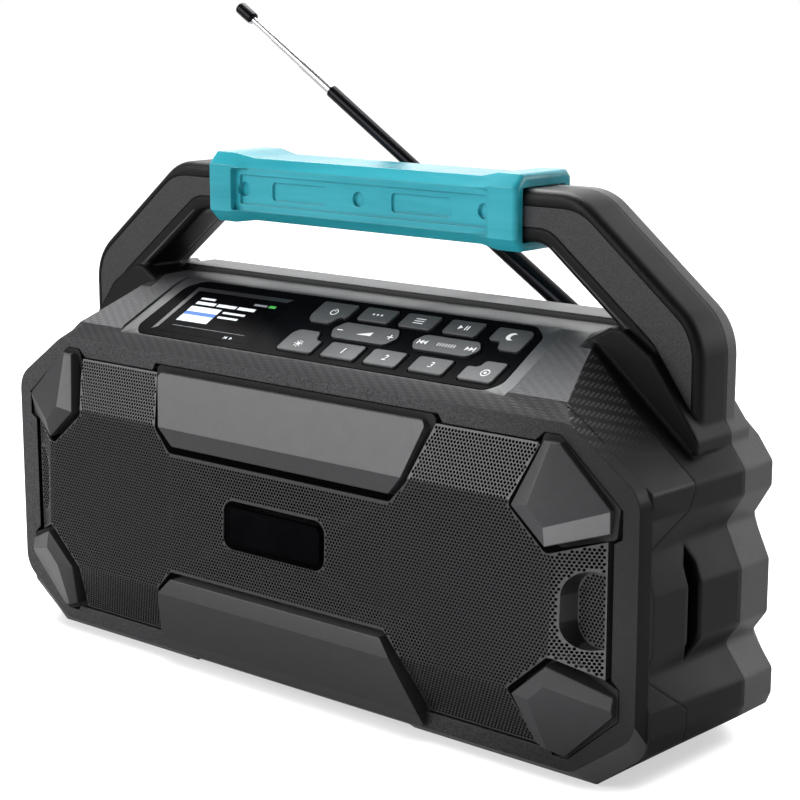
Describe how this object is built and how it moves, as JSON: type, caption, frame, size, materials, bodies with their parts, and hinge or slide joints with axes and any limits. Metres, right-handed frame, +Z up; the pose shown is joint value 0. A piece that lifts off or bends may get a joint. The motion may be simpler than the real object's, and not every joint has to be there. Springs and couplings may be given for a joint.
{
  "type": "jobsite radio",
  "caption": "Rugged jobsite radio with a fixed carry handle in a soft grip, sloping key console, perforated front, faceted bumpers and a folding telescopic antenna.",
  "frame": {"origin": "on the floor, under the middle of the case's width and depth", "axes": "+Z up, -Y is the front with the grille, +X to the right seen from the front"},
  "size_m": [0.356, 0.1136, 0.2801],
  "materials": {
    "case_dark": "fine grained moulded ABS",
    "case_mid": "smooth matt moulded ABS",
    "case_rear": "fine grained moulded ABS",
    "trim_grained": "coarse grained moulded ABS",
    "grip_rubber": "soft-touch elastomer, turquoise",
    "grille_steel": "perforated sheet steel, powder-coated",
    "cloth": "black acoustic cloth",
    "gloss_black": "glossy black acrylic",
    "bumper_rubber": "moulded rubber, satin",
    "inner_black": "black moulded ABS",
    "speaker_steel": "black painted steel",
    "speaker_paper": "coated paper cone",
    "screw_steel": "zinc-plated steel",
    "display_glass": "clear black window",
    "electronics": "glass-fibre board",
    "keypad_rubber": "silicone mat",
    "key_grey": "matt keycap",
    "battery_wrap": "wrapped cell pack",
    "door_plastic": "fine grained moulded ABS",
    "socket_black": "black nylon",
    "flap_rubber": "soft rubber",
    "feet_rubber": "rubber",
    "antenna_black": "black lacquered brass tube",
    "antenna_chrome": "chrome-plated brass tube"
  },
  "bodies": {
    "root": {"aux_jack": "socket_black", "badge_plate": "gloss_black", "battery_door": "door_plastic", "battery_pack": "battery_wrap", "bumper_bottom_left": "bumper_rubber", "bumper_bottom_right": "bumper_rubber", "bumper_lower": "bumper_rubber", "bumper_top_left": "bumper_rubber", "bumper_top_right": "bumper_rubber", "bumper_upper": "bumper_rubber", "control_board": "electronics", "control_panel": "gloss_black", "dc_jack": "socket_black", "display_lens": "display_glass", "door_screws": "screw_steel", "front_frame": "case_dark", "grille": "grille_steel", "grille_cloth": "cloth", "grip_sleeve": "grip_rubber", "handle_trim": "trim_grained", "housing_screws": "screw_steel", "keypad_mat": "keypad_rubber", "lcd_module": "electronics", "main_board": "electronics", "mid_shell": "case_mid", "rear_shell": "case_rear", "rubber_feet": "feet_rubber", "speaker_baffle": "inner_black", "speaker_basket_left": "speaker_steel", "speaker_basket_right": "speaker_steel", "speaker_cone_left": "speaker_paper", "speaker_cone_right": "speaker_paper", "speaker_magnet_left": "speaker_steel", "speaker_magnet_right": "speaker_steel", "speaker_screws": "screw_steel", "usb_port": "socket_black"},
    "port_flap": {"port_flap": "flap_rubber"},
    "antenna_turret": {"antenna_base": "antenna_black", "antenna_pin": "screw_steel"},
    "antenna_sleeve": {"antenna_sleeve": "antenna_black"},
    "antenna_tube": {"antenna_tube": "antenna_black"},
    "antenna_section_1": {"antenna_section_1": "antenna_chrome"},
    "antenna_section_2": {"antenna_section_2": "antenna_chrome"},
    "antenna_section_3": {"antenna_section_3": "antenna_chrome"},
    "key_dimmer": {"key_dimmer": "key_grey"},
    "key_menu": {"key_menu": "key_grey"},
    "key_mode": {"key_mode": "key_grey"},
    "key_one": {"key_one": "key_grey"},
    "key_power": {"key_power": "key_grey"},
    "key_scan": {"key_scan": "key_grey"},
    "key_select": {"key_select": "key_grey"},
    "key_sleep": {"key_sleep": "key_grey"},
    "key_three": {"key_three": "key_grey"},
    "key_two": {"key_two": "key_grey"},
    "rocker_tuning": {"rocker_tuning": "key_grey"},
    "rocker_volume": {"rocker_volume": "key_grey"}
  },
  "joints": [
    {"name": "key_dimmer_press", "type": "slide", "parent": "root", "child": "key_dimmer", "axis": [0, 0.454, -0.891], "range_m": [0, 0.0008], "stiffness_N_per_m": 600},
    {"name": "key_menu_press", "type": "slide", "parent": "root", "child": "key_menu", "axis": [0, 0.454, -0.891], "range_m": [0, 0.0008], "stiffness_N_per_m": 600},
    {"name": "key_mode_press", "type": "slide", "parent": "root", "child": "key_mode", "axis": [0, 0.454, -0.891], "range_m": [0, 0.0008], "stiffness_N_per_m": 600},
    {"name": "key_one_press", "type": "slide", "parent": "root", "child": "key_one", "axis": [0, 0.454, -0.891], "range_m": [0, 0.0008], "stiffness_N_per_m": 600},
    {"name": "key_power_press", "type": "slide", "parent": "root", "child": "key_power", "axis": [0, 0.454, -0.891], "range_m": [0, 0.0008], "stiffness_N_per_m": 600},
    {"name": "key_scan_press", "type": "slide", "parent": "root", "child": "key_scan", "axis": [0, 0.454, -0.891], "range_m": [0, 0.0008], "stiffness_N_per_m": 600},
    {"name": "key_select_press", "type": "slide", "parent": "root", "child": "key_select", "axis": [0, 0.454, -0.891], "range_m": [0, 0.0008], "stiffness_N_per_m": 600},
    {"name": "key_sleep_press", "type": "slide", "parent": "root", "child": "key_sleep", "axis": [0, 0.454, -0.891], "range_m": [0, 0.0008], "stiffness_N_per_m": 600},
    {"name": "key_three_press", "type": "slide", "parent": "root", "child": "key_three", "axis": [0, 0.454, -0.891], "range_m": [0, 0.0008], "stiffness_N_per_m": 600},
    {"name": "key_two_press", "type": "slide", "parent": "root", "child": "key_two", "axis": [0, 0.454, -0.891], "range_m": [0, 0.0008], "stiffness_N_per_m": 600},
    {"name": "rocker_tuning_tilt", "type": "hinge", "parent": "root", "child": "rocker_tuning", "pos_m": [0.062, -0.01677, 0.14712], "axis": [0, 0.891, 0.454], "range_deg": [-2.5, 2.5], "stiffness_Nm_per_rad": 0.6},
    {"name": "rocker_volume_tilt", "type": "hinge", "parent": "root", "child": "rocker_volume", "pos_m": [0.01975, -0.01686, 0.14708], "axis": [0, 0.891, 0.454], "range_deg": [-2.5, 2.5], "stiffness_Nm_per_rad": 0.6},
    {"name": "antenna_swivel", "type": "hinge", "parent": "root", "child": "antenna_turret", "pos_m": [0.105, 0.0468, 0.1382], "axis": [0, 0, 1], "range_deg": [-120, 0]},
    {"name": "antenna_fold", "type": "hinge", "parent": "antenna_turret", "child": "antenna_sleeve", "pos_m": [0.105, 0.0468, 0.1382], "axis": [0, 1, 0], "range_deg": [-32.4, 57.6]},
    {"name": "antenna_tube_slide", "type": "slide", "parent": "antenna_sleeve", "child": "antenna_tube", "axis": [-0.8443, 0, 0.5358], "range_m": [-0.083, 0]},
    {"name": "antenna_section_1_slide", "type": "slide", "parent": "antenna_tube", "child": "antenna_section_1", "axis": [-0.8443, 0, 0.5358], "range_m": [-0.0205, 0.058]},
    {"name": "antenna_section_2_slide", "type": "slide", "parent": "antenna_section_1", "child": "antenna_section_2", "axis": [-0.8443, 0, 0.5358], "range_m": [-0.0205, 0.057]},
    {"name": "antenna_section_3_slide", "type": "slide", "parent": "antenna_section_2", "child": "antenna_section_3", "axis": [-0.8443, 0, 0.5358], "range_m": [-0.0145, 0.054]},
    {"name": "port_flap_hinge", "type": "hinge", "parent": "root", "child": "port_flap", "pos_m": [-0.098, 0.0552, 0.072], "axis": [1, 0, 0], "range_deg": [-95, 0]}
  ]
}
